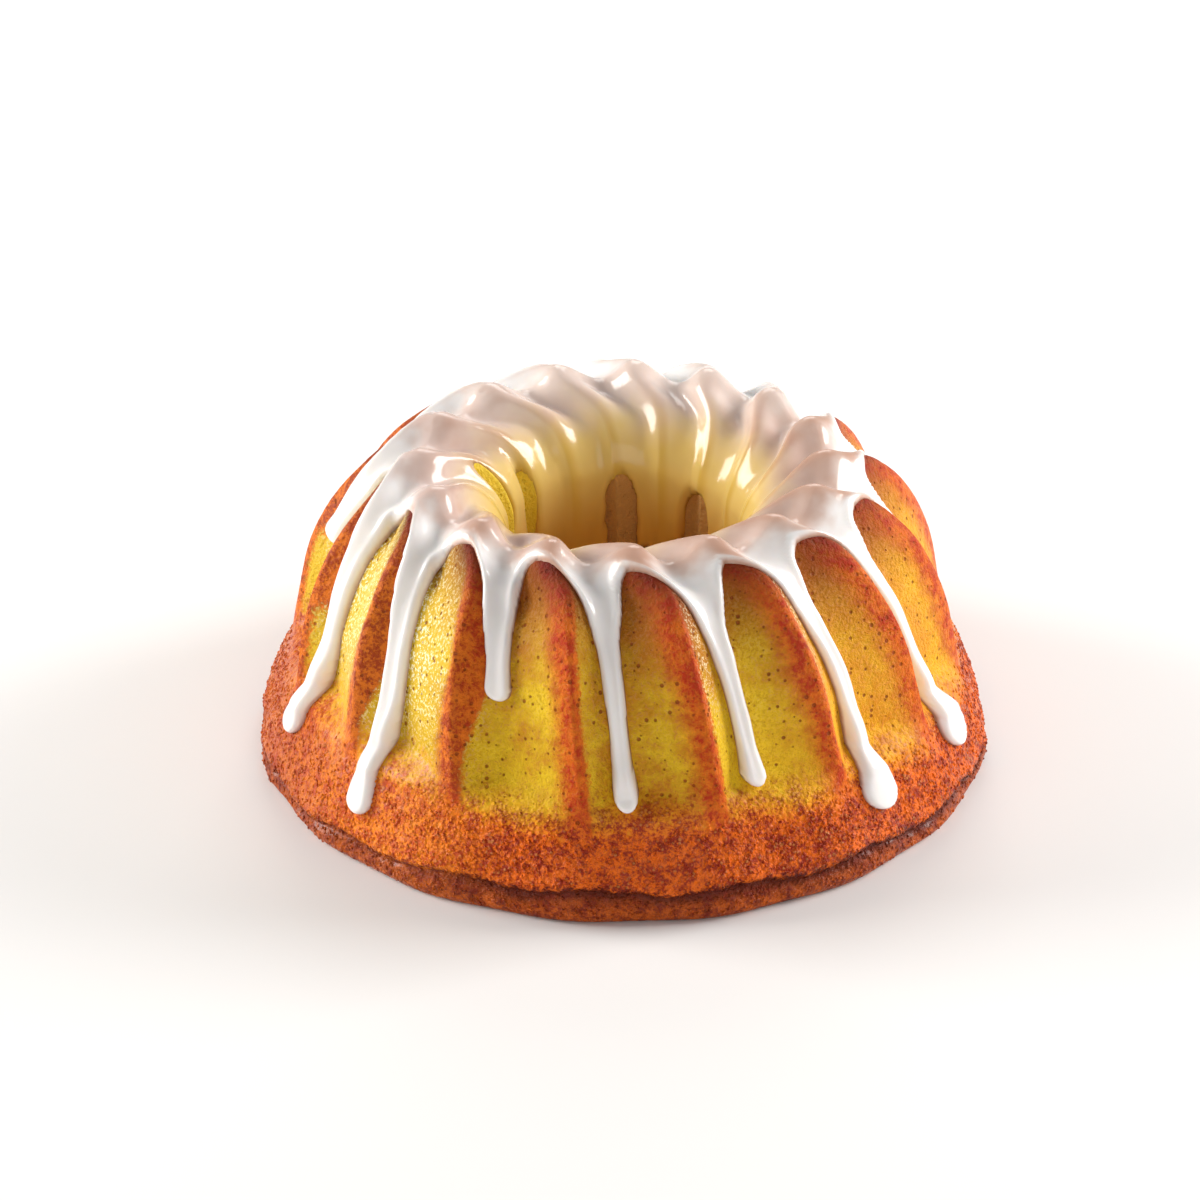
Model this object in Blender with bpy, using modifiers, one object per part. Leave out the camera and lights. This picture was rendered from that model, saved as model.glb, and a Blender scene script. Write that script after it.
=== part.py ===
"""Bundt cake: a tall ring cake with a round hole, turned out of a fluted tin.

The cake is one closed solid.  Its profile is turned round the vertical axis, then every
vertex is cut inwards by the flutes between the ribs and moved round the axis by their lean.
Units are metres, +Z is up, and the cake stands on Z = 0 with its axis on the Z axis.
"""

import math

import bpy

COLLECTION = "bundt_cake"
NODE = "cake"

# The crest of a rib, from the crown down the outside to the foot of the flutes.
CAKE_HEIGHT = 0.1017
CROWN_RADIUS = 0.0646
SHOULDER_FOOT_HEIGHT = 0.0500
SHOULDER_REACH = 0.0303
SHOULDER_ACROSS_POWER = 1.35
SHOULDER_UP_POWER = 2.42
WALL_FLARE = 0.20
FLUTE_FOOT_HEIGHT = 0.0295

# The plain skirt below the flutes, the crease under it and the lip that stood at the tin's rim.
BASE_RADIUS = 0.1192
SKIRT_FOOT_HEIGHT = 0.0100
SKIRT_FOOT_INSET = 0.0012
CREASE_HEIGHT = 0.0072
CREASE_INSET = 0.0030
LIP_TOP_HEIGHT = 0.0056
LIP_WIDEST_HEIGHT = 0.0036
LIP_FOOT_HEIGHT = 0.0013
LIP_FOOT_INSET = 0.0006
BASE_EDGE_INSET = 0.0020

# The hole, from the base up to the crown.
HOLE_FOOT_RADIUS = 0.0335
HOLE_TOP_RADIUS = 0.0375
HOLE_TOP_HEIGHT = 0.0730
HOLE_ROUNDNESS = 1.55

# Ribs and the flutes between them.
RIB_COUNT = 16
FLUTE_DEPTH = 0.0090
HOLE_FLUTE_DEPTH = 0.0038
WALL_VALLEY_PHASE = 0.31
CROWN_VALLEY_PHASE = 0.42
WALL_RIDGE_POWER = 1.2
CROWN_RIDGE_POWER = 1.8
FLUTE_END_RISE = 0.0090
SKIRT_SCALLOP = 0.0013
RING_CORE_HEIGHT = 0.055

# The crown's ribs gather a little to +X of the axis, and the shift fades away from the crown.
CROWN_SHIFT = math.radians(3.0)
CROWN_SHIFT_REACH = 0.030

# How far the ribs lean round the axis, counted from the crown.
OUTER_LEAN = math.radians(10.5)
OUTER_LEAN_REACH = 0.0125
OUTER_DRIFT = math.radians(68.0)
HOLE_LEAN = math.radians(20.0)
HOLE_LEAN_REACH = 0.015
LEAN_POWER = 3

# The crease wanders up and down round the cake: waves round the cake, height, start.
CREASE_WAVES = ((2, 0.0026, 5.32), (5, 0.0005, 0.4), (16, 0.0011, 1.57))

CRUST_COLOUR = (0.62, 0.28, 0.045, 1.0)
CRUST_ROUGHNESS = 0.55

# How finely the outline and the turn are stepped.
STEPS_PER_RIB = 7
OUTSIDE_STEPS = 9
OUTSIDE_STEP_POWER = 1.8
HOLE_STEPS = 6
WELD_DISTANCE = 0.00005
SHARP_EDGE_ANGLE = math.radians(60.0)


def clear_scene():
    for item in list(bpy.data.objects):
        bpy.data.objects.remove(item, do_unlink=True)


def smooth_step(value):
    value = min(max(value, 0.0), 1.0)
    return value * value * (3.0 - 2.0 * value)


def outside_radius(height):
    """Radius of a rib's crest on the outside: a rounded shoulder on a wall that flares downwards."""
    share = max((height - SHOULDER_FOOT_HEIGHT) / (CAKE_HEIGHT - SHOULDER_FOOT_HEIGHT), 0.0)
    shoulder = (1.0 - share ** SHOULDER_UP_POWER) ** (1.0 / SHOULDER_ACROSS_POWER)
    return CROWN_RADIUS + SHOULDER_REACH * shoulder + WALL_FLARE * (CAKE_HEIGHT - height)


def outside_points():
    """Crest points from the crown down to the foot of the flutes, closest together at both ends."""
    fall = CAKE_HEIGHT - FLUTE_FOOT_HEIGHT
    heights = [
        CAKE_HEIGHT - fall * (step / OUTSIDE_STEPS) ** OUTSIDE_STEP_POWER
        for step in range(OUTSIDE_STEPS)
    ]
    heights += [FLUTE_FOOT_HEIGHT + FLUTE_END_RISE * share for share in (0.7, 0.35, 0.0)]
    return [(outside_radius(height), height) for height in heights]


def skirt_points():
    foot = (BASE_RADIUS - SKIRT_FOOT_INSET, SKIRT_FOOT_HEIGHT)
    top = (outside_radius(FLUTE_FOOT_HEIGHT), FLUTE_FOOT_HEIGHT)
    middle = (0.5 * (top[0] + foot[0]), 0.5 * (top[1] + foot[1]))
    return [middle, foot]


def lip_points():
    return [
        (BASE_RADIUS - CREASE_INSET, CREASE_HEIGHT),
        (BASE_RADIUS - SKIRT_FOOT_INSET, LIP_TOP_HEIGHT),
        (BASE_RADIUS, LIP_WIDEST_HEIGHT),
        (BASE_RADIUS - LIP_FOOT_INSET, LIP_FOOT_HEIGHT),
        (BASE_RADIUS - BASE_EDGE_INSET, 0.0),
    ]


def hole_points():
    """Crest points from the base up the hole, and round its shoulder to just short of the crown."""
    middle = (0.5 * (HOLE_FOOT_RADIUS + HOLE_TOP_RADIUS), 0.5 * HOLE_TOP_HEIGHT)
    points = [(HOLE_FOOT_RADIUS, 0.0), middle]
    for step in range(HOLE_STEPS):
        turn = 0.5 * math.pi * step / HOLE_STEPS
        across = math.cos(turn) ** (2.0 / HOLE_ROUNDNESS)
        up = math.sin(turn) ** (2.0 / HOLE_ROUNDNESS)
        radius = CROWN_RADIUS - (CROWN_RADIUS - HOLE_TOP_RADIUS) * across
        points.append((radius, HOLE_TOP_HEIGHT + (CAKE_HEIGHT - HOLE_TOP_HEIGHT) * up))
    return points


def crest_profile():
    """The closed outline of a rib's crest: crown, outside, base, hole and back to the crown."""
    return outside_points() + skirt_points() + lip_points() + hole_points()


def crown_share(height):
    """0 on the walls and 1 at the crown."""
    return smooth_step((height - HOLE_TOP_HEIGHT) / (CAKE_HEIGHT - HOLE_TOP_HEIGHT))


def rib_wave(phase, height):
    """0 on a crest and 1 in a valley; the flank that follows the crest is the steep one."""
    crown = crown_share(height)
    valley = WALL_VALLEY_PHASE + (CROWN_VALLEY_PHASE - WALL_VALLEY_PHASE) * crown
    power = WALL_RIDGE_POWER + (CROWN_RIDGE_POWER - WALL_RIDGE_POWER) * crown
    if phase < valley:
        share = phase / valley
    else:
        share = (1.0 - phase) / (1.0 - valley)
    return math.sin(0.5 * math.pi * share) ** power


def flute_cut(phase, radius, height):
    """How far the surface lies inside the crest's outline: flutes, or the skirt's soft scallops."""
    if radius < CROWN_RADIUS:
        depth = HOLE_FLUTE_DEPTH + (FLUTE_DEPTH - HOLE_FLUTE_DEPTH) * crown_share(height)
        return depth * rib_wave(phase, height)
    opened = smooth_step((height - FLUTE_FOOT_HEIGHT) / FLUTE_END_RISE)
    scallop = SKIRT_SCALLOP * 0.5 * (1.0 - math.cos(math.tau * (phase - WALL_VALLEY_PHASE + 0.5)))
    return opened * FLUTE_DEPTH * rib_wave(phase, height) + (1.0 - opened) * scallop


def rib_lean(radius, height):
    """How far the ribs have leaned round the axis at this point of the crest's outline."""
    reach = math.hypot(radius - CROWN_RADIUS, CAKE_HEIGHT - height)
    if radius < CROWN_RADIUS:
        pull = (reach / HOLE_LEAN_REACH) ** LEAN_POWER
        return -HOLE_LEAN * pull / (1.0 + pull)
    pull = (reach / OUTER_LEAN_REACH) ** LEAN_POWER
    return OUTER_LEAN * pull / (1.0 + pull) + OUTER_DRIFT * reach


def crown_shift(angle, radius, height):
    """How far the ribs at this angle are pushed towards +X, which fades away from the crown."""
    reach = math.hypot(radius - CROWN_RADIUS, CAKE_HEIGHT - height)
    return -CROWN_SHIFT * math.sin(angle) * (1.0 - smooth_step(reach / CROWN_SHIFT_REACH))


def crease_rise(angle, radius, height):
    """How far the crease and the edges beside it stand above or below their mean height."""
    if radius < CROWN_RADIUS or height > FLUTE_FOOT_HEIGHT:
        return 0.0
    rise = sum(size * math.sin(count * angle + start) for count, size, start in CREASE_WAVES)
    above = 1.0 - smooth_step((height - CREASE_HEIGHT) / (FLUTE_FOOT_HEIGHT - CREASE_HEIGHT))
    below = smooth_step(height / CREASE_HEIGHT)
    return rise * above * below


def fluted(point):
    """Where a point of the turned crest outline lies on the fluted cake."""
    radius = math.hypot(point[0], point[1])
    height = point[2]
    angle = math.atan2(point[1], point[0])
    phase = (angle * RIB_COUNT / math.tau) % 1.0
    across = radius - CROWN_RADIUS
    up = max(height - RING_CORE_HEIGHT, 0.0)
    length = math.hypot(across, up)
    cut = flute_cut(phase, radius, height)
    new_radius = radius - cut * across / length
    new_height = height - cut * up / length + crease_rise(angle, radius, height)
    turn = angle + rib_lean(radius, height) + crown_shift(angle, radius, height)
    return (new_radius * math.cos(turn), new_radius * math.sin(turn), new_height)


def turned_ring(collection):
    """The crest outline turned round the Z axis, as a plain mesh object."""
    points = crest_profile()
    mesh = bpy.data.meshes.new(NODE + "_profile")
    edges = [(index, (index + 1) % len(points)) for index in range(len(points))]
    mesh.from_pydata([(radius, 0.0, height) for radius, height in points], edges, [])
    profile = bpy.data.objects.new(NODE + "_profile", mesh)
    collection.objects.link(profile)
    screw = profile.modifiers.new("Turn", "SCREW")
    screw.angle = math.tau
    screw.steps = RIB_COUNT * STEPS_PER_RIB
    screw.render_steps = screw.steps
    screw.use_merge_vertices = True
    screw.merge_threshold = WELD_DISTANCE
    bpy.context.view_layer.update()
    evaluated = profile.evaluated_get(bpy.context.evaluated_depsgraph_get())
    ring = bpy.data.meshes.new_from_object(evaluated)
    bpy.data.objects.remove(profile, do_unlink=True)
    return ring


def crust_material():
    material = bpy.data.materials.new("baked_crust")
    material.use_nodes = True
    shader = material.node_tree.nodes["Principled BSDF"]
    shader.inputs["Base Color"].default_value = CRUST_COLOUR
    shader.inputs["Roughness"].default_value = CRUST_ROUGHNESS
    shader.inputs["Metallic"].default_value = 0.0
    return material


def make_cake(collection):
    ring = turned_ring(collection)
    ring.name = NODE
    for vertex in ring.vertices:
        vertex.co = fluted(vertex.co)
    ring.materials.clear()
    ring.materials.append(crust_material())
    ring.shade_smooth()
    ring.set_sharp_from_angle(angle=SHARP_EDGE_ANGLE)
    cake = bpy.data.objects.new(NODE, ring)
    collection.objects.link(cake)
    return cake


clear_scene()
parts = bpy.data.collections.new(COLLECTION)
bpy.context.scene.collection.children.link(parts)
make_cake(parts)
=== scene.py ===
"""Glazed bundt cake: a fluted ring of yellow sponge with sugar glaze poured over its crown."""
import math

import bpy
import numpy as np
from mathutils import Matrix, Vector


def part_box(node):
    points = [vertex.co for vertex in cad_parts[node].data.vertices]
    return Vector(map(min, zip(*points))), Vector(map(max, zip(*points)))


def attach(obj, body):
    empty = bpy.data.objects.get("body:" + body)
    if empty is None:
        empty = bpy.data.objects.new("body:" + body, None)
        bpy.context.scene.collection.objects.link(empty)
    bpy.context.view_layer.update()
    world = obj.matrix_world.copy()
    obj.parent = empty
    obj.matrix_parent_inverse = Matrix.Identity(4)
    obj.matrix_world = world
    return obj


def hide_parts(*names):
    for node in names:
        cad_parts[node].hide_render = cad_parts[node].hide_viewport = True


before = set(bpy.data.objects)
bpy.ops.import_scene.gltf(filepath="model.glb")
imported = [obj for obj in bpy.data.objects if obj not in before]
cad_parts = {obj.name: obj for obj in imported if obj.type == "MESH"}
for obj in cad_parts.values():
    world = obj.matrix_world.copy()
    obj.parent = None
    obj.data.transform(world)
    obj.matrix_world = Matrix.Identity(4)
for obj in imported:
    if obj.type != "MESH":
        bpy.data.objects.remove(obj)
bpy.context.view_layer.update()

scene = bpy.context.scene


# ---------------------------------------------------------------------------------------------
# The cake: one ring of yellow sponge baked in a fluted tin and turned out, crust and all.
# Its outline is turned round the axis as a plain ring, then a node tree presses the flutes
# into it, leans the ribs round and roughens the crust that stood above the tin.
# ---------------------------------------------------------------------------------------------
RIBS = 16
CAKE_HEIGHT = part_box("cake")[1].z
CROWN_RADIUS = 0.0646
HOLE_TOP_HEIGHT = 0.0730
FLUTE_FOOT_HEIGHT = 0.0295
CREASE_RADIUS, CREASE_HEIGHT = 0.1170, 0.0072
WALL_VALLEY, CROWN_VALLEY = 0.31, 0.42
WALL_RIDGE_POWER, CROWN_RIDGE_POWER = 1.2, 1.8
BASE_STEPS = 6


class Value:
    """One number in a node tree.  Python's operators on it add Math nodes."""

    def __init__(self, tree, socket):
        self.tree, self.socket = tree, socket

    def math(self, operation, *others, clamp=False):
        node = self.tree.nodes.new("ShaderNodeMath")
        node.operation, node.use_clamp = operation, clamp
        for socket, value in zip(node.inputs, (self, *others)):
            plug(self.tree, socket, value)
        return Value(self.tree, node.outputs[0])

    def __add__(self, other):
        return self.math("ADD", other)

    def __mul__(self, other):
        return self.math("MULTIPLY", other)

    def __sub__(self, other):
        return self.math("SUBTRACT", other)

    def __truediv__(self, other):
        return self.math("DIVIDE", other)

    def __pow__(self, other):
        return self.math("POWER", other)

    def __rsub__(self, other):
        return (self * -1.0) + other

    def __neg__(self):
        return self * -1.0

    __radd__, __rmul__ = __add__, __mul__

    def smooth(self, low, high):
        """0 below low and 1 above high, with a soft rise between them."""
        found = node(
            self.tree, "ShaderNodeMapRange", {"interpolation_type": "SMOOTHSTEP"},
            {"Value": self, "From Min": low, "From Max": high},
        )
        return Value(self.tree, found.outputs[0])


def plug(tree, socket, value):
    """Links a value, a socket or a node's first output to a socket, or sets it to a constant."""
    if isinstance(value, Value):
        tree.links.new(value.socket, socket)
    elif isinstance(value, bpy.types.Node):
        tree.links.new(value.outputs[0], socket)
    elif isinstance(value, bpy.types.NodeSocket):
        tree.links.new(value, socket)
    else:
        socket.default_value = value


def node(tree, kind, settings=None, sockets=None):
    """A node of this kind with its settings made first, then its sockets by name or place."""
    made = tree.nodes.new(kind)
    for name, value in (settings or {}).items():
        setattr(made, name, value)
    for name, value in (sockets or {}).items():
        plug(tree, made.inputs[name], value)
    return made


def hypot(a, b):
    return (a * a + b * b).math("SQRT")


TIN = {
    "Crown radius": CROWN_RADIUS,
    "Cake height": CAKE_HEIGHT,
    "Ring core height": 0.055,
    "Hole top height": HOLE_TOP_HEIGHT,
    "Ribs": float(RIBS),
    "Flute depth": 0.0090,
    "Hole flute depth": 0.0038,
    "Flute foot height": FLUTE_FOOT_HEIGHT,
    "Flute end rise": 0.0090,
    "Wall valley": WALL_VALLEY,
    "Crown valley": CROWN_VALLEY,
    "Wall ridge power": WALL_RIDGE_POWER,
    "Crown ridge power": CROWN_RIDGE_POWER,
    "Skirt scallop": 0.0013,
    "Outer lean": math.radians(10.5),
    "Outer lean reach": 0.0125,
    "Outer drift": math.radians(68.0),
    "Hole lean": math.radians(20.0),
    "Hole lean reach": 0.015,
    "Crown shift": math.radians(3.0),
    "Crown shift reach": 0.030,
    "Crease height": CREASE_HEIGHT,
    "Crumb relief": 0.0,
}
CREASE_WAVES = ((2, 0.0026, 5.32), (5, 0.0005, 0.4), (16, 0.0011, 1.57))


def fluted_tin_tree():
    """Presses a turned ring into the tin: flutes, lean, crease and a rough skirt."""
    tree = bpy.data.node_groups.new("fluted_tin", "GeometryNodeTree")
    tree.interface.new_socket("Geometry", in_out="INPUT", socket_type="NodeSocketGeometry")
    for name in TIN:
        tree.interface.new_socket(name, in_out="INPUT", socket_type="NodeSocketFloat")
    tree.interface.new_socket("Crust", in_out="INPUT", socket_type="NodeSocketMaterial")
    tree.interface.new_socket("Geometry", in_out="OUTPUT", socket_type="NodeSocketGeometry")
    given = tree.nodes.new("NodeGroupInput")
    tin = {name: Value(tree, given.outputs[name]) for name in TIN}

    place = node(tree, "ShaderNodeSeparateXYZ", {}, {0: node(tree, "GeometryNodeInputPosition")})
    x, y, z = (Value(tree, place.outputs[axis]) for axis in range(3))
    radius, angle = hypot(x, y), y.math("ARCTAN2", x)
    phase = (angle * tin["Ribs"] * (1.0 / math.tau)).math("FRACT")
    outside = radius.math("GREATER_THAN", tin["Crown radius"])
    rise = (z - tin["Hole top height"]) / (tin["Cake height"] - tin["Hole top height"])
    crown = rise.smooth(0.0, 1.0)

    valley = tin["Wall valley"] + (tin["Crown valley"] - tin["Wall valley"]) * crown
    power = tin["Wall ridge power"] + (tin["Crown ridge power"] - tin["Wall ridge power"]) * crown
    share = (phase / valley).math("MINIMUM", (1.0 - phase) / (1.0 - valley))
    wave = (share * (0.5 * math.pi)).math("SINE") ** power
    hole_cut = (tin["Hole flute depth"] + (tin["Flute depth"] - tin["Hole flute depth"]) * crown) * wave
    opened = ((z - tin["Flute foot height"]) / tin["Flute end rise"]).smooth(0.0, 1.0)
    turned = (phase - tin["Wall valley"] + 0.5) * math.tau
    scallop = tin["Skirt scallop"] * 0.5 * (1.0 - turned.math("COSINE"))
    wall_cut = opened * tin["Flute depth"] * wave + (1.0 - opened) * scallop
    cut = outside * wall_cut + (1.0 - outside) * hole_cut
    coat = node(tree, "GeometryNodeInputNamedAttribute", {"data_type": "FLOAT"}, {"Name": "coat"})
    cut = cut - Value(tree, coat.outputs[0])

    across = radius - tin["Crown radius"]
    up = (z - tin["Ring core height"]).math("MAXIMUM", 0.0)
    length = hypot(across, up)
    below_flutes = 1.0 - z.smooth(tin["Crease height"].socket, tin["Flute foot height"].socket)
    above_base = (z / tin["Crease height"]).smooth(0.0, 1.0)
    crease = 0.0
    for count, size, start in CREASE_WAVES:
        crease = (angle * float(count) + start).math("SINE") * size + crease
    new_radius = radius - cut * across / length
    new_height = z - cut * up / length + crease * below_flutes * above_base * outside

    reach = hypot(across, tin["Cake height"] - z)
    outer_pull, hole_pull = (
        (reach / tin[name]) ** 3.0 for name in ("Outer lean reach", "Hole lean reach")
    )
    outer = tin["Outer lean"] * outer_pull / (outer_pull + 1.0) + tin["Outer drift"] * reach
    inner = -(tin["Hole lean"] * hole_pull / (hole_pull + 1.0))
    shift = -(tin["Crown shift"] * angle.math("SINE")) * (1.0 - (reach / tin["Crown shift reach"]).smooth(0.0, 1.0))
    turn = angle + outside * outer + (1.0 - outside) * inner + shift
    moved = node(tree, "ShaderNodeCombineXYZ", {}, {
        0: new_radius * turn.math("COSINE"), 1: new_radius * turn.math("SINE"), 2: new_height,
    })
    pressed = node(tree, "GeometryNodeSetPosition", {}, {"Geometry": given.outputs["Geometry"], "Position": moved})

    crumb = node(tree, "ShaderNodeTexNoise", {"noise_dimensions": "3D"}, {
        "Scale": 420.0, "Detail": 3.0, "Roughness": 0.6,
    })
    swell = node(tree, "ShaderNodeTexNoise", {"noise_dimensions": "3D"}, {"Scale": 42.0, "Detail": 1.0})
    lump = node(tree, "ShaderNodeTexNoise", {"noise_dimensions": "3D"}, {"Scale": 120.0, "Detail": 2.0})
    skirt = 1.0 - z.smooth(0.024, 0.036)
    low = 1.0 - z.smooth(0.010, 0.020)
    grain = (Value(tree, crumb.outputs[0]) - 0.5) * (0.30 + 0.95 * skirt)
    grain = grain + (Value(tree, lump.outputs[0]) - 0.5) * low * 3.2
    relief = (grain + (Value(tree, swell.outputs[0]) - 0.5) * 1.5) * z.smooth(0.0003, 0.003)
    bumps = node(tree, "ShaderNodeVectorMath", {"operation": "SCALE"}, {
        0: node(tree, "GeometryNodeInputNormal"), "Scale": relief * tin["Crumb relief"],
    })
    rough = node(tree, "GeometryNodeSetPosition", {}, {"Geometry": pressed, "Offset": bumps})
    real = node(tree, "GeometryNodeRealizeInstances", {}, {"Geometry": rough})
    crust = node(tree, "GeometryNodeSetMaterial", {}, {"Geometry": real, "Material": given.outputs["Crust"]})
    node(tree, "NodeGroupOutput", {}, {0: crust})
    return tree


fluted_tin = fluted_tin_tree()


def worked(name, mesh, tree, given):
    """The mesh worked by a node tree with these inputs, as a plain mesh object."""
    blank = bpy.data.objects.new(name + "_blank", mesh)
    scene.collection.objects.link(blank)
    work = blank.modifiers.new("Work", "NODES")
    work.node_group = tree
    for socket in tree.interface.items_tree:
        if socket.in_out == "INPUT" and socket.name in given:
            work[socket.identifier] = given[socket.name]
    bpy.context.view_layer.update()
    plain = bpy.data.meshes.new_from_object(blank.evaluated_get(bpy.context.evaluated_depsgraph_get()))
    bpy.data.objects.remove(blank, do_unlink=True)
    plain.name = name
    plain.shade_smooth()
    made = bpy.data.objects.new(name, plain)
    scene.collection.objects.link(made)
    return made


def pressed_in_tin(name, mesh, material, relief):
    return worked(name, mesh, fluted_tin, {**TIN, "Crumb relief": relief, "Crust": material})


def rounded(points, step):
    """A soft curve through these points, with a point about every step."""
    points = np.array(points, float)
    ends = np.vstack([2 * points[0] - points[1], points, 2 * points[-1] - points[-2]])
    found = []
    for a, b, c, d in zip(ends, ends[1:], ends[2:], ends[3:]):
        count = max(2, int(round(np.hypot(*(c - b)) / step)))
        t = np.arange(count)[:, None] / count
        found.append(0.5 * (2 * b + (c - a) * t + (2 * a - 5 * b + 4 * c - d) * t**2 + (3 * b - a - 3 * c + d) * t**3))
    return np.vstack([*found, points[-1:]])


def outside_radius(height):
    share = np.clip((height - 0.0500) / (CAKE_HEIGHT - 0.0500), 0.0, 1.0)
    shoulder = (1.0 - share**2.42) ** (1.0 / 1.35)
    return CROWN_RADIUS + 0.0303 * shoulder + 0.20 * (CAKE_HEIGHT - height)


def outside_outline(step):
    """A rib's crest from the crown down to the base's edge, radius and height."""
    heights = CAKE_HEIGHT - (CAKE_HEIGHT - FLUTE_FOOT_HEIGHT) * np.linspace(0.0, 1.0, 900) ** 2.2
    wall = np.stack([outside_radius(heights), heights], 1)
    along = np.r_[0.0, np.cumsum(np.hypot(*np.diff(wall, axis=0).T))]
    even = np.linspace(0.0, along[-1], int(along[-1] / step) + 1)
    wall = np.stack([np.interp(even, along, wall[:, 0]), np.interp(even, along, wall[:, 1])], 1)
    crease = (CREASE_RADIUS, CREASE_HEIGHT)
    skirt = rounded([wall[-1], (0.1142, 0.0198), (0.1181, 0.0108), (0.1180, 0.0084), crease], step)
    lip = rounded([crease, (0.1177, 0.0060), (0.1184, 0.0040), (0.1184, 0.0016), (0.1172, 0.0)], step)
    return np.vstack([wall[:-1], skirt[:-1], lip])


def hole_outline(step):
    """A rib's crest from the crown over the shoulder and down the hole to the base."""
    turn = np.linspace(0.5 * math.pi, 0.0, 600)
    across, up = np.cos(turn) ** (2 / 1.55), np.sin(turn) ** (2 / 1.55)
    shoulder = np.stack([CROWN_RADIUS - 0.0271 * across, HOLE_TOP_HEIGHT + (CAKE_HEIGHT - HOLE_TOP_HEIGHT) * up], 1)
    path = np.vstack([shoulder, [(0.0335, 0.0)]])
    along = np.r_[0.0, np.cumsum(np.hypot(*np.diff(path, axis=0).T))]
    even = np.linspace(0.0, along[-1], int(along[-1] / step) + 1)
    return np.stack([np.interp(even, along, path[:, 0]), np.interp(even, along, path[:, 1])], 1)


def reach_along(outline):
    return np.r_[0.0, np.cumsum(np.hypot(*np.diff(outline, axis=0).T))]


def crease_reach():
    """How far down the outside the crease lies from the crown, in mm."""
    outline = outside_outline(0.0005)
    gap = np.hypot(outline[:, 0] - CREASE_RADIUS, outline[:, 1] - CREASE_HEIGHT)
    return float(1000.0 * reach_along(outline)[np.argmin(gap)])


def attribute(mesh, name, values):
    mesh.attributes.new(name, "FLOAT", "POINT").data.foreach_set("value", np.asarray(values, np.float32).ravel())


def turned_cake(columns):
    """The whole outline turned round the axis, with each point's rib and reach from the crown."""
    outer, hole = outside_outline(0.00095), hole_outline(0.0026)
    base = np.stack([np.linspace(outer[-1, 0], hole[-1, 0], BASE_STEPS + 1)[1:-1], np.zeros(BASE_STEPS - 1)], 1)
    outline = np.vstack([outer, base, hole[:0:-1]])
    reach = np.r_[reach_along(outer), np.full(BASE_STEPS - 1, 0.126), -reach_along(hole)[:0:-1]]
    angle = np.arange(columns) * math.tau / columns
    rows = len(outline)
    radius, height = outline[:, 0][:, None], outline[:, 1][:, None]
    points = np.stack([radius * np.cos(angle), radius * np.sin(angle), height + 0.0 * angle], -1).reshape(-1, 3)
    row, column = np.meshgrid(np.arange(rows), np.arange(columns), indexing="ij")
    below, after = (row + 1) % rows, (column + 1) % columns
    faces = np.stack([row * columns + column, below * columns + column, below * columns + after, row * columns + after], -1)
    mesh = bpy.data.meshes.new("cake_ring")
    mesh.from_pydata(points.tolist(), [], faces.reshape(-1, 4).tolist())
    ribs = np.broadcast_to(angle * RIBS, (rows, columns))
    attribute(mesh, "rib_sin", np.sin(ribs))
    attribute(mesh, "rib_cos", np.cos(ribs))
    attribute(mesh, "reach", np.broadcast_to(reach[:, None], (rows, columns)) * 1000.0)
    return mesh


def colour(tree, share, low, high):
    """One colour blended to another; each is sRGB 0-255 or a node."""
    def linear(part):
        part = part / 255.0
        return part / 12.92 if part <= 0.04045 else ((part + 0.055) / 1.055) ** 2.4

    made = node(tree, "ShaderNodeMix", {"data_type": "RGBA"}, {0: share})
    for place, given in ((6, low), (7, high)):
        if isinstance(given, tuple):
            made.inputs[place].default_value = (*(linear(part) for part in given), 1.0)
        else:
            tree.links.new(given.outputs[2], made.inputs[place])
    return made


def named(tree, name):
    return Value(tree, node(tree, "ShaderNodeAttribute", {"attribute_name": name}).outputs["Fac"])


def noise(tree, scale, detail=2.0, rough=0.5, kind="ShaderNodeTexNoise"):
    where = node(tree, "ShaderNodeTexCoord").outputs["Object"]
    return Value(tree, node(tree, kind, {}, {"Vector": where, "Scale": scale, "Detail": detail, "Roughness": rough}).outputs[0])


def shader_of(material):
    material.use_nodes = True
    return material.node_tree, material.node_tree.nodes["Principled BSDF"]


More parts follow.
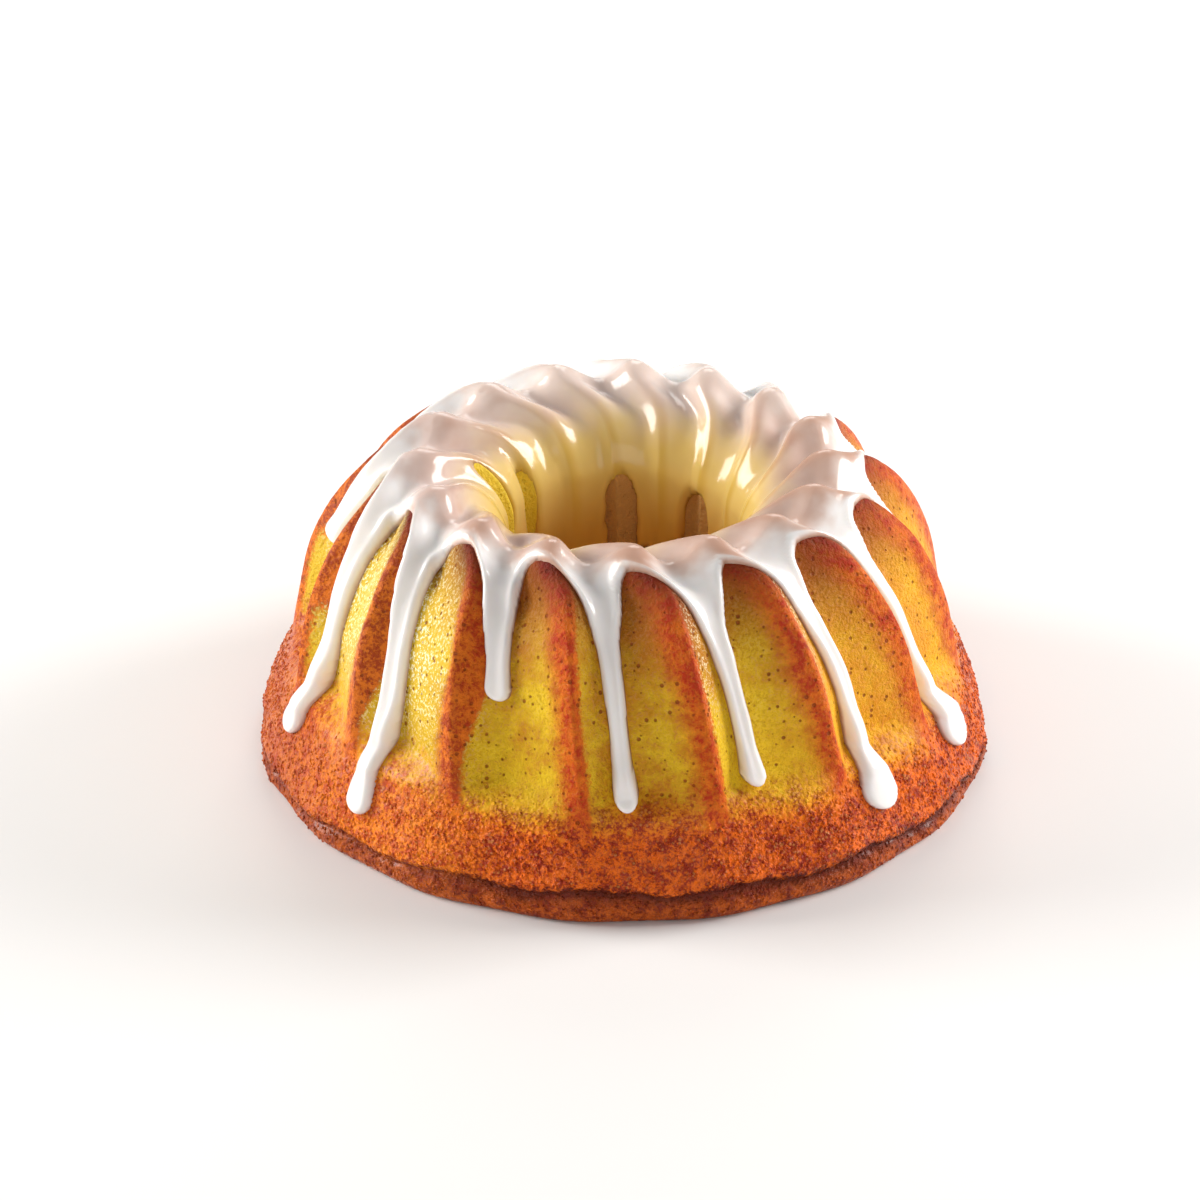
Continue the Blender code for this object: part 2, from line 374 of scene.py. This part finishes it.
def crust_material():
    """Golden flanks, orange-red crests, a baked skirt and a crease painted dark as shade over the brown lip; light,
    shade and glints from the side lamps are painted in too.
    """
    material = bpy.data.materials.new("baked_crust")
    tree, shader = shader_of(material)
    phase = named(tree, "rib_sin").math("ARCTAN2", named(tree, "rib_cos")) * (1.0 / math.tau)
    reach = named(tree, "reach")
    broad, patchy, fine = noise(tree, 36.0, 2.0), noise(tree, 250.0, 3.0, 0.6), noise(tree, 950.0, 3.0, 0.65)
    ragged = (patchy - 0.5) * 0.75 + (fine - 0.5) * 0.9
    across = phase + (broad - 0.5) * 0.06 + ragged * 0.10
    narrow = (reach / 90.0).math("MINIMUM", 1.0) * 0.10
    window_top = (1.0 - (reach + ragged * 12.0).smooth(6.0, 32.0)) * ((phase + 0.1).smooth(-0.34, 0.08) * 0.8 + 0.2)
    where = node(tree, "ShaderNodeTexCoord").outputs["Object"]
    place = node(tree, "ShaderNodeSeparateXYZ", {}, {0: where})
    # lit_left marks the cake's left side, which the left lamp lights; colours mixed by it are painted light and shade.
    lit_left = (Value(tree, place.outputs[0]) * -1.0).smooth(0.032, 0.064)
    near = 1.0 - (Value(tree, place.outputs[0]) * -1.0).smooth(0.086, 0.100)
    # shade marks the left ribs' steep flanks, which face away from the left lamp; it widens the crest colour over them
    # as painted shade.
    shade = (Value(tree, place.outputs[0]) * -1.0).smooth(0.018, 0.050) * near * (1.0 - reach.smooth(42.0, 80.0) * 0.95)
    # lit_right marks the cake's right side, which the right lamp lights.
    lit_right = Value(tree, place.outputs[0]).smooth(0.030, 0.085)
    edge = (Value(tree, place.outputs[0]) * -1.0).smooth(0.078, 0.108)
    sides = Value(tree, place.outputs[0]).math("ABSOLUTE").smooth(0.020, 0.075)
    # Painted highlights at the flute feet on both sides of the cake.
    foot_glint = Value(tree, place.outputs[0]).math("ABSOLUTE").smooth(0.045, 0.080) * reach.smooth(79.0, 86.0)
    foot_glint = foot_glint * (1.0 - reach.smooth(90.0, 100.0)) * (phase + 0.55).smooth(0.0, 0.12) * (1.0 - (phase + 0.10).smooth(0.0, 0.10))
    back = (Value(tree, place.outputs[1]) + Value(tree, place.outputs[0]) * 0.5).smooth(0.016, 0.028)
    crest = (1.0 - across.smooth(0.03 + shade * 0.24, 0.075 + shade * 0.26)) * across.smooth(-0.36 + narrow + shade * 0.22, -0.08 + narrow * 0.3 + shade * 0.05)
    # Flanks are painted darker towards the crown, partly browning and partly painted shade; the painted shade is left
    # off the lit left side.
    top = (1.0 - (reach + ragged * 12.0).smooth(14.0, 52.0)) * (1.0 - lit_left * 0.85)
    foot = (reach + ragged * 22.0 + (broad - 0.5) * 10.0 - crest * 5.0 + lit_left * 1.5 + edge * 8.0).smooth(79.0, 95.0)
    cells = node(tree, "ShaderNodeTexVoronoi", {}, {"Vector": where, "Scale": 430.0})
    chance = node(tree, "ShaderNodeSeparateColor", {}, {0: cells.outputs["Color"]})
    size = Value(tree, chance.outputs[0])
    pore = (1.0 - (Value(tree, cells.outputs["Distance"]) + size * 0.34).smooth(0.18, 0.36)) * (1.0 - foot)
    grains = node(tree, "ShaderNodeTexVoronoi", {}, {"Vector": where, "Scale": 640.0})
    grain = Value(tree, grains.outputs["Distance"])
    speck = (1.0 - grain.smooth(0.20, 0.42)) * (patchy + (fine - 0.5) * 0.5).smooth(0.50, 0.62)

    flank = colour(tree, (broad + ragged * 0.7).smooth(0.30, 0.72), (240, 200, 34), (204, 134, 20))
    # Painted light: the flanks on the lit left side are painted paler.
    pale = colour(tree, reach.smooth(40.0, 76.0), (226, 192, 56), (216, 178, 34))
    flank = colour(tree, lit_left * 0.8, flank, pale)
    # Painted light: the flanks on the lit right side are painted brighter orange.
    flank = colour(tree, lit_right * 0.5, flank, (250, 160, 26))
    flank = colour(tree, top * 0.8, flank, (162, 68, 20))
    ridge = colour(tree, (patchy + (fine - 0.5) * 0.5).smooth(0.32, 0.68), (230, 114, 20), (188, 52, 12))
    # shaded is the crest colour painted darker as shade for the left ribs.
    shaded = colour(tree, (patchy + (fine - 0.5) * 0.9).smooth(0.36, 0.66), (226, 118, 26), (164, 62, 14))
    ridge = colour(tree, lit_left, ridge, shaded)
    # Painted highlights: pale glints on the lit left faces and on the steep flanks of the front-right ribs.
    glint = fine.smooth(0.52, 0.59) * (1.0 - crest) * (lit_left * lit_left * near * 0.95 + 0.05)
    glint = glint * (1.0 - reach.smooth(54.0, 80.0) * 0.7)
    steep_glint_mask = phase.smooth(0.02, 0.06) * (1.0 - phase.smooth(0.12, 0.20)) * reach.smooth(9.0, 18.0)
    steep_glint_mask = steep_glint_mask * Value(tree, place.outputs[0]).smooth(0.012, 0.024)
    glint = glint + fine.smooth(0.52, 0.60) * steep_glint_mask * (1.0 - reach.smooth(34.0, 70.0)) * 0.7
    body = colour(tree, crest * (0.85 + broad * 0.4), flank, ridge)
    # Darker mottling of the crumb, painted thinner on the lit left side as painted light.
    body = colour(tree, (1.0 - fine.smooth(0.38, 0.52)) * (0.30 - lit_left * 0.14), body, (166, 84, 18))
    # The painted highlights are laid on here.
    body = colour(tree, glint, body, (255, 248, 206))
    body = colour(tree, pore * 0.8, body, (146, 62, 16))
    body = colour(tree, window_top * 0.95, body, (92, 14, 8))
    # Painted light: the skirt is painted lighter and more golden on the lit left side.
    baked = colour(tree, lit_left, (240, 110, 20), (246, 136, 30))
    dark = colour(tree, lit_left, (158, 44, 12), (196, 74, 16))
    grainy = colour(tree, (patchy + (fine - 0.5) * 0.9).smooth(0.34, 0.66), baked, dark)
    # Pale specks on the skirt's grains, partly pale crumbs and partly painted highlights.
    grainy = colour(tree, speck * 0.34, grainy, (252, 180, 96))
    # Painted shade: the skirt is painted darker at the far left edge.
    grainy = colour(tree, edge * 0.5, grainy, (158, 54, 22))
    body = colour(tree, foot, body, grainy)
    # The painted highlights at the flute feet go on here.
    body = colour(tree, foot_glint * fine.smooth(0.52, 0.60) * 0.4, body, (248, 172, 80))
    crease_at = crease_reach()
    lip = colour(tree, (patchy + (fine - 0.5) * 0.6).smooth(0.3, 0.7), (196, 92, 28), (122, 38, 14))
    body = colour(tree, (reach + ragged * 5.0).smooth(crease_at - 3.0, crease_at) * 0.85, body, lip)
    # Painted shade: the crease is painted dark, less so on the lit left side.
    crease = 1.0 - (reach + ragged * 7.0 + (broad - 0.5) * 6.0 - crease_at).math("ABSOLUTE").smooth(0.3, 3.4)
    body = colour(tree, crease * (0.85 - lit_left * 0.5), body, (84, 20, 10))
    body = colour(tree, (-reach).smooth(2.0, 10.0), body, (240, 208, 66))
    body = colour(tree, (-reach).smooth(30.0, 38.0) * back, body, (204, 152, 92))
    tree.links.new(body.outputs[2], shader.inputs["Base Color"])
    plug(tree, shader.inputs["Roughness"], 0.44 + (fine - 0.5) * 0.5 + pore * 0.15 - foot * 0.10)
    plug(tree, shader.inputs["Coat Weight"], (0.05 + foot * (sides * 0.20 + 0.06)) * reach.smooth(8.0, 40.0) * (fine + (broad - 0.5) * 0.8).smooth(0.30, 0.62))
    shader.inputs["Coat Roughness"].default_value = 0.22
    lumps = fine * 0.9 + patchy * 0.5 - grain * (0.25 + foot * 0.5) - pore * 0.5
    bump = node(tree, "ShaderNodeBump", {}, {"Strength": 1.0, "Distance": 0.0010, "Height": lumps})
    plug(tree, shader.inputs["Normal"], bump)
    shader.inputs["Specular IOR Level"].default_value = 0.15
    return material


cake = pressed_in_tin("fluted_cake", turned_cake(512), crust_material(), 0.0010)
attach(cake, "root")
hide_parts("cake")


# ---------------------------------------------------------------------------------------------
# The crumb: grains of crust that stand up from the baked skirt and the lip under it, where the
# batter boiled over the tin.  A node tree scatters them and sinks each one half way in.
# ---------------------------------------------------------------------------------------------
CRUMB = {"Grains per square metre": 330000.0, "Grain radius": 0.00062, "Top reach": 84.0, "Full reach": 96.0, "Seed": 7}


def crumb_tree():
    """Scatters round grains of mixed size over the skirt, thicker towards the base."""
    tree = bpy.data.node_groups.new("crumb", "GeometryNodeTree")
    tree.interface.new_socket("Geometry", in_out="INPUT", socket_type="NodeSocketGeometry")
    for name, value in CRUMB.items():
        kind = "NodeSocketInt" if isinstance(value, int) else "NodeSocketFloat"
        tree.interface.new_socket(name, in_out="INPUT", socket_type=kind)
    tree.interface.new_socket("Crust", in_out="INPUT", socket_type="NodeSocketMaterial")
    tree.interface.new_socket("Geometry", in_out="OUTPUT", socket_type="NodeSocketGeometry")
    given = tree.nodes.new("NodeGroupInput").outputs
    reach = Value(tree, node(tree, "GeometryNodeInputNamedAttribute", {"data_type": "FLOAT"}, {"Name": "reach"}).outputs[0])
    place = node(tree, "ShaderNodeSeparateXYZ", {}, {0: node(tree, "GeometryNodeInputPosition")})
    clear = Value(tree, place.outputs[2]).smooth(0.0012, 0.0022)
    share = reach.smooth(given["Top reach"], given["Full reach"]) * clear
    points = node(tree, "GeometryNodeDistributePointsOnFaces", {"distribute_method": "RANDOM"}, {
        "Mesh": given["Geometry"], "Density": share * Value(tree, given["Grains per square metre"]), "Seed": given["Seed"],
    })
    grain = node(tree, "GeometryNodeMeshIcoSphere", {}, {"Radius": given["Grain radius"], "Subdivisions": 1})
    size = node(tree, "FunctionNodeRandomValue", {"data_type": "FLOAT_VECTOR"}, {
        "Min": (0.45, 0.45, 0.35), "Max": (1.35, 1.35, 0.85), "Seed": given["Seed"],
    })
    scattered = node(tree, "GeometryNodeInstanceOnPoints", {}, {
        "Points": points.outputs["Points"], "Instance": grain.outputs["Mesh"],
        "Rotation": points.outputs["Rotation"], "Scale": size.outputs[0],
    })
    real = node(tree, "GeometryNodeRealizeInstances", {}, {"Geometry": scattered})
    crust = node(tree, "GeometryNodeSetMaterial", {}, {"Geometry": real, "Material": given["Crust"]})
    node(tree, "NodeGroupOutput", {}, {0: crust})
    return tree


crumb = worked("crust_crumb", cake.data.copy(), crumb_tree(), {**CRUMB, "Crust": cake.data.materials[0]})
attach(crumb, "root")


# ---------------------------------------------------------------------------------------------
# The glaze: sugar icing poured round the crown, one closed sheet about a millimetre thick.
# It pools in the valleys, thins over the ridges and leaves a bare window on each one, and
# runs down the valleys in round drips, each with a bead where it stopped.
# ---------------------------------------------------------------------------------------------
GLAZE_COLUMNS_PER_RIB = 32
GLAZE_EDGE_LEVEL = 9.0      # mm from the crown to the sheet's edge between two drips
RIDGE_COAT, POOL_COAT = 0.55, 2.0
SUNK = -0.5
# Valley, where it starts and ends across the rib, half width, funnel, end, bead, last turn.
DRIPS = (
    (0, 0.33, 0.31, 3.0, 6.0, 62.0, 4.2, 0.0),
    (1, 0.33, 0.30, 3.2, 6.0, 96.0, 4.6, 0.0),
    (2, 0.33, 0.33, 2.9, 5.0, 48.0, 3.9, 0.0),
    (3, 0.30, 0.32, 3.1, 6.0, 79.0, 4.3, 0.0),
    (4, 0.32, 0.30, 2.9, 5.0, 57.0, 4.0, 0.0),
    (5, 0.30, 0.31, 3.2, 5.0, 88.0, 4.4, 0.0),
    (6, 0.27, 0.29, 2.9, 5.0, 66.0, 4.0, 0.0),
    (7, 0.22, 0.19, 2.8, 4.0, 51.0, 3.2, 0.0),
    (8, 0.19, 0.23, 2.8, 2.5, 99.0, 5.0, -0.12),
    (9, 0.20, 0.26, 3.3, 1.5, 104.5, 4.4, -0.07),
    (10, 0.26, 0.31, 3.4, 2.0, 57.0, 3.8, 0.0),
    (11, 0.31, 0.32, 2.8, 4.5, 86.5, 3.7, 0.0),
    (12, 0.32, 0.33, 2.7, 7.0, 84.0, 3.7, 0.0),
    (13, 0.27, 0.34, 2.9, 7.0, 102.5, 6.0, -0.08),
    (14, 0.33, 0.32, 2.8, 9.0, 102.0, 6.6, 0.03),
    (15, 0.33, 0.31, 2.8, 9.0, 68.0, 3.4, 0.0),
)
# How much lower than the level each rib's window starts, and how far up its ridge is bare.
WINDOWS = (
    (5.5, 1.0), (4.0, 2.0), (12.0, 0.0), (1.0, 4.0), (8.0, 0.0), (1.0, 4.0), (-4.0, 5.0), (-4.0, 5.0),
    (-0.5, 6.0), (1.0, 7.0), (-0.5, 6.0), (-2.0, 3.0), (-3.0, 2.0), (-3.5, 1.0), (0.0, 0.5), (4.5, 0.5),
)


def soft_steps(values, low, high):
    share = np.clip((values - low) / (high - low), 0.0, 1.0)
    return share * share * (3.0 - 2.0 * share)


def ripple(ribs, reach, seed, fineness):
    """Smooth unevenness between about -1 and 1 that closes on itself round the cake."""
    rng = np.random.default_rng(seed)
    total = 0.0
    for _ in range(7):
        round_count, down = rng.integers(3, 5 + fineness), rng.uniform(0.02, 0.05 + 0.012 * fineness)
        total = total + np.sin(ribs * math.tau * round_count / RIBS + reach * down + rng.uniform(0, math.tau))
    return total / 3.5


def blend_union(a, b, width):
    """The larger of two distances, with a fillet of this width where they meet."""
    share = np.clip(width - np.abs(a - b), 0.0, None) / width
    return np.maximum(a, b) + 0.25 * width * share**2


def round_edge(distance, width):
    share = np.clip(distance / width, 0.0, 1.0)
    return np.sqrt(np.clip(1.0 - (1.0 - share) ** 2, 0.0, 1.0))


def rib_wave(phase, crown, power=None):
    valley = WALL_VALLEY + (CROWN_VALLEY - WALL_VALLEY) * crown
    power = power or WALL_RIDGE_POWER + (CROWN_RIDGE_POWER - WALL_RIDGE_POWER) * crown
    share = np.minimum(phase / valley, (1.0 - phase) / (1.0 - valley))
    return np.sin(0.5 * math.pi * share) ** power


def glaze_fields(ribs, reach, radius, height):
    """Distance inside the glaze's edge and its thickness in mm, from rib, reach and outline."""
    phase = ribs % 1.0
    pitch = math.tau * radius * 1000.0 / RIBS
    crown = soft_steps(height, HOLE_TOP_HEIGHT, CAKE_HEIGHT)
    wave = rib_wave(phase, crown)
    soft_wave = rib_wave(phase, crown, 2.0)

    nearest = np.round(ribs).astype(int) % RIBS
    here = np.floor(ribs).astype(int) % RIBS
    lower, bare = (np.array(WINDOWS)[:, part] for part in (0, 1))
    side = ribs - np.round(ribs)
    next_share = soft_steps(phase, 0.15, 0.85)
    lower_here = lower[here] * (1.0 - next_share) + lower[(here + 1) % RIBS] * next_share
    level = GLAZE_EDGE_LEVEL + lower_here - bare[nearest] * np.exp(-(((side - 0.10) / 0.10) ** 2))
    level = level + 4.0 * np.sin(math.pi * (ribs + 0.05)) ** 6 + 0.5 * ripple(ribs, 0.0, 3, 30)
    hole_edge = -78.0 + 9.0 * wave + 3.0 * ripple(ribs, 0.0, 5, 8)
    sheet = np.minimum((level - reach) * 0.8, (reach - hole_edge) * 0.8)

    drips, beads = np.full_like(reach, -1e3), np.zeros_like(reach)
    for valley, start, end, half, funnel, last, bead, kick in DRIPS:
        half, bead = 1.2 * half, 1.17 * bead
        middle = start + (end - start) * soft_steps(reach, 10.0, 60.0) + kick * soft_steps(reach, 62.0, 106.0)
        middle = middle + 0.006 * np.sin(reach * 0.09 + valley)
        across = ((ribs - valley - middle + 0.5 * RIBS) % RIBS - 0.5 * RIBS) * pitch
        swell = (bead - half) * soft_steps(reach, last - 3.1 * bead, last - 0.9 * bead)
        width = half + funnel * np.exp(-(reach - 10.0) / 10.0) + swell + 0.12 * np.sin(reach * 0.23 + 2.0 * valley)
        end_gap = bead - np.hypot(across, np.maximum(reach - (last - bead), 0.0))
        width = width + 4.5 * np.exp(-np.maximum(reach - 7.0, 0.0) / 12.0) * soft_steps(across, -3.0, 3.0)
        gap = np.where(reach > last - bead, end_gap, width - np.abs(across))
        gap = np.where(reach < 0.5, -1e3, gap)
        drips = np.maximum(drips, gap)
        body = np.minimum(width, 0.5 * (width + 3.6))
        apart = soft_steps(reach, 9.0, 26.0)
        crest = 0.75 * np.minimum(body, 4.2) * (0.25 + 0.75 * soft_steps(reach, 4.0, 24.0)) * soft_steps(reach, 0.5, 9.0)
        profile = apart * round_edge(gap, body) + (1.0 - apart) * soft_steps(gap, 0.0, width)
        beads = np.maximum(beads, crest * profile)

    inside = blend_union(sheet, drips, 5.0)
    for rib, top, wide in ((3.15, -43.0, 5.4), (4.9, -41.0, 4.6)):
        across = ((ribs - rib + 0.5 * RIBS) % RIBS - 0.5 * RIBS) * pitch
        bare_gap = np.hypot(across, 0.5 * np.maximum(reach - top + 2.0 * wide, 0.0)) - wide
        inside = np.minimum(inside, bare_gap + 0.35 * ripple(ribs, reach, 8, 60))
    for rib, top, wide in ((7.15, -31.0, 2.0), (8.05, -21.0, 2.3)):
        across = ((ribs - rib + 0.5 * RIBS) % RIBS - 0.5 * RIBS) * pitch
        inside = np.minimum(inside, np.hypot(across, 0.15 * (reach - top + 13.0)) - wide)

    uneven = 1.0 + 0.14 * ripple(ribs, reach, 11, 20)
    in_hole = soft_steps(-reach, 4.0, 28.0)
    depth = np.where(reach < 0.0, 3.8 + 5.2 * crown, 9.0)
    filled = 0.76 - 0.52 * in_hole
    pool = depth * (wave - filled * soft_wave) * (1.0 - soft_steps(reach, 14.0, 30.0))
    pool = pool + POOL_COAT * wave**2 * soft_steps(reach, 6.0, 20.0)
    corner = 3.6 * wave * np.exp(-(((reach - 80.0) / 9.0) ** 2)) * round_edge(inside, 2.8)
    rim = 0.8 * np.exp(-(((inside - 1.5) / 1.4) ** 2)) * soft_steps(reach, 0.0, 4.0)
    coat = (RIDGE_COAT + rim + pool * uneven) * round_edge(inside, 2.2)
    meet = np.clip(1.5 - np.abs(coat - beads), 0.0, None) / 1.5
    thick = np.maximum(coat, beads) + 0.375 * meet**2 * round_edge(beads, 0.8) * round_edge(inside, 2.2) + corner
    return inside, thick


def poured_glaze():
    """The glaze as one closed sheet, cut to its edge and turned like the cake's outline."""
    outer, hole = outside_outline(0.00084), hole_outline(0.0016)
    outer_reach, hole_reach = reach_along(outer), reach_along(hole)
    outer, outer_reach = outer[outer_reach < 0.1085], outer_reach[outer_reach < 0.1085]
    hole, hole_reach = hole[hole_reach < 0.092], hole_reach[hole_reach < 0.092]
    outline = np.vstack([hole[:0:-1], outer])
    reach = np.r_[-hole_reach[:0:-1], outer_reach] * 1000.0
    share = np.arange(GLAZE_COLUMNS_PER_RIB) / GLAZE_COLUMNS_PER_RIB
    phase = share - 0.075 * np.sin(math.tau * (share - 0.29))
    ribs = (np.arange(RIBS)[:, None] + phase).ravel()
    rows, columns = len(reach), len(ribs)
    reach_grid, rib_grid = np.meshgrid(reach, ribs, indexing="ij")
    radius_grid, height_grid = (np.broadcast_to(outline[:, part][:, None], (rows, columns)) for part in (0, 1))
    inside, thick = glaze_fields(rib_grid, reach_grid, radius_grid, height_grid)
    inside = np.where(np.abs(inside) < 0.04, 0.04 * np.where(inside < 0.0, -1.0, 1.0), inside)

    points, coats, thins, reaches, number = [], [], [], [], {}

    def point(key, rib, row_radius, row_height, coat, thin, along):
        if key not in number:
            number[key] = len(points)
            angle = rib * math.tau / RIBS
            points.append((row_radius * math.cos(angle), row_radius * math.sin(angle), row_height))
            coats.append(coat * 0.001)
            thins.append(thin)
            reaches.append(along)
        return number[key]

    def corner(row, column, top):
        thickness = thick[row, column]
        return point(
            (row, column, top), ribs[column], outline[row, 0], outline[row, 1],
            thickness if top else SUNK, thickness, reach[row],
        )

    def crossing(one, other):
        one, other = sorted((one, other))
        a, b = inside[one], inside[other]
        part = a / (a - b)
        gap = ribs[other[1]] - ribs[one[1]]
        gap = gap - RIBS if gap > 0.5 * RIBS else gap
        (r0, z0), (r1, z1) = outline[one[0]], outline[other[0]]
        rib = ribs[one[1]] + part * gap
        along = reach[one[0]] + part * (reach[other[0]] - reach[one[0]])
        return point((one, other), rib, r0 + part * (r1 - r0), z0 + part * (z1 - z0), -0.08, 0.3, along)

    faces = []
    kept = inside > 0.0
    any_kept = kept[:-1] | kept[1:]
    any_kept = any_kept | np.roll(any_kept, -1, axis=1)
    for row, column in zip(*np.nonzero(any_kept)):
        row, column = int(row), int(column)
        after = (column + 1) % columns
        loop = [(row, column), (row + 1, column), (row + 1, after), (row, after)]
        for top in (True, False):
            face = []
            for here, there in zip(loop, loop[1:] + loop[:1]):
                if kept[here]:
                    face.append(corner(*here, top))
                if kept[here] != kept[there]:
                    face.append(crossing(here, there))
            faces.append(face if top else face[::-1])
    mesh = bpy.data.meshes.new("glaze_sheet")
    mesh.from_pydata(points, [], faces)
    attribute(mesh, "coat", coats)
    attribute(mesh, "thickness", thins)
    attribute(mesh, "reach", reaches)
    return mesh


def icing_material():
    """White where it is thick, pinkish and yellower where the sponge shows through it; painted whiter on the lit left
    side.
    """
    material = bpy.data.materials.new("sugar_icing")
    tree, shader = shader_of(material)
    thick, reach = named(tree, "thickness"), named(tree, "reach")
    cloud, swirl = noise(tree, 70.0, 2.0), noise(tree, 170.0, 2.0)
    mottle = (cloud - 0.5) + (swirl - 0.5) * 0.4
    solid = (thick + mottle * 1.2).smooth(0.5, 2.1)
    outer = (reach + mottle * 14.0).smooth(-1.0, 10.0)
    crown = colour(tree, solid * (0.55 + mottle * 0.8), (196, 156, 136), (224, 204, 194))
    place = node(tree, "ShaderNodeSeparateXYZ", {}, {0: node(tree, "ShaderNodeTexCoord").outputs["Object"]})
    # Painted light: the crown glaze is painted whiter on the lit left side.
    lit_left = (Value(tree, place.outputs[0]) * -1.0 + mottle * 0.03).smooth(0.030, 0.075)
    crown = colour(tree, lit_left * 0.45, crown, (238, 222, 218))
    back = (Value(tree, place.outputs[1]) + mottle * 0.03).smooth(0.010, 0.062)
    crown = colour(tree, back * 0.55, crown, (242, 228, 220))
    skin = colour(tree, outer * solid, crown, (244, 239, 236))
    deep = (-reach + mottle * 16.0).smooth(8.0, 34.0)
    hole = colour(tree, solid, (214, 178, 88), (226, 196, 116))
    hole = colour(tree, (-reach).smooth(34.0, 66.0), hole, (222, 162, 74))
    skin = colour(tree, deep, skin, hole)
    tree.links.new(skin.outputs[2], shader.inputs["Base Color"])
    plug(tree, shader.inputs["Roughness"], 0.09 + cloud * 0.12)
    wavy = node(tree, "ShaderNodeBump", {}, {"Strength": 0.25, "Distance": 0.0006, "Height": noise(tree, 150.0, 1.0)})
    plug(tree, shader.inputs["Normal"], wavy)
    shader.inputs["IOR"].default_value = 1.48
    shader.inputs["Subsurface Weight"].default_value = 0.25
    shader.inputs["Subsurface Radius"].default_value = (0.004, 0.003, 0.0022)
    shader.inputs["Subsurface Scale"].default_value = 1.0
    return material


glaze = pressed_in_tin("poured_glaze", poured_glaze(), icing_material(), 0.0)
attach(glaze, "root")


# ---------------------------------------------------------------------------------------------
# The table: a plain pale floor, not part of the cake.
# ---------------------------------------------------------------------------------------------
floor_mesh = bpy.data.meshes.new("floor")
floor_mesh.from_pydata([(-6, -6, 0), (6, -6, 0), (6, 6, 0), (-6, 6, 0)], [], [(0, 1, 2, 3)])
floor = bpy.data.objects.new("floor", floor_mesh)
scene.collection.objects.link(floor)
pale = bpy.data.materials.new("pale_floor")
pale_tree, pale_shader = shader_of(pale)
pale_shader.inputs["Base Color"].default_value = (0.86, 0.85, 0.84, 1.0)
pale_shader.inputs["Roughness"].default_value = 0.7
floor_mesh.materials.append(pale)
floor.location.z = -0.0004


# ---------------------------------------------------------------------------------------------
# The light: soft boxes behind the cake on both sides and overhead, a weak one in front.
# ---------------------------------------------------------------------------------------------
def soft_box(name, place, size, power, tint):
    lamp = bpy.data.lights.new(name, "AREA")
    lamp.shape, lamp.size, lamp.energy, lamp.color = "SQUARE", size, power, tint
    made = bpy.data.objects.new(name, lamp)
    made.location = place
    made.rotation_mode = "QUATERNION"
    aim = Vector((0.0, 0.0, 0.05)) - Vector(place)
    made.rotation_quaternion = aim.to_track_quat("-Z", "Y")
    scene.collection.objects.link(made)


soft_box("left_box", (-1.35, 0.20, 0.55), 0.8, 27.0, (1.0, 0.98, 0.95))
soft_box("right_box", (1.25, 0.30, 0.60), 0.7, 23.0, (1.0, 0.98, 0.96))
soft_box("back_box", (0.1, 1.4, 1.0), 0.9, 8.0, (1.0, 0.99, 0.98))
soft_box("front_box", (0.2, -1.7, 0.6), 1.2, 7.0, (1.0, 0.98, 0.96))
world = bpy.data.worlds.new("studio")
world.use_nodes = True
world.node_tree.nodes["Background"].inputs["Color"].default_value = (1.0, 1.0, 1.0, 1.0)
world.node_tree.nodes["Background"].inputs["Strength"].default_value = 0.25
scene.world = world
scene.view_settings.view_transform = "Standard"


# ---------------------------------------------------------------------------------------------
# The camera: a long lens, looking down on the cake at about 29 degrees.
# ---------------------------------------------------------------------------------------------
CAMERA_DISTANCE, CAMERA_RISE, AIM_HEIGHT = 1.5, math.radians(28.895), 0.048
camera = bpy.data.objects.new("camera", bpy.data.cameras.new("camera"))
camera.location = (
    0.0, -CAMERA_DISTANCE * math.cos(CAMERA_RISE), AIM_HEIGHT + CAMERA_DISTANCE * math.sin(CAMERA_RISE)
)
camera.rotation_euler = (0.5 * math.pi - CAMERA_RISE, 0.0, 0.0)
camera.data.sensor_width = 36.0
camera.data.lens = 139.66
camera.data.shift_x = -0.0195
scene.collection.objects.link(camera)
scene.camera = camera
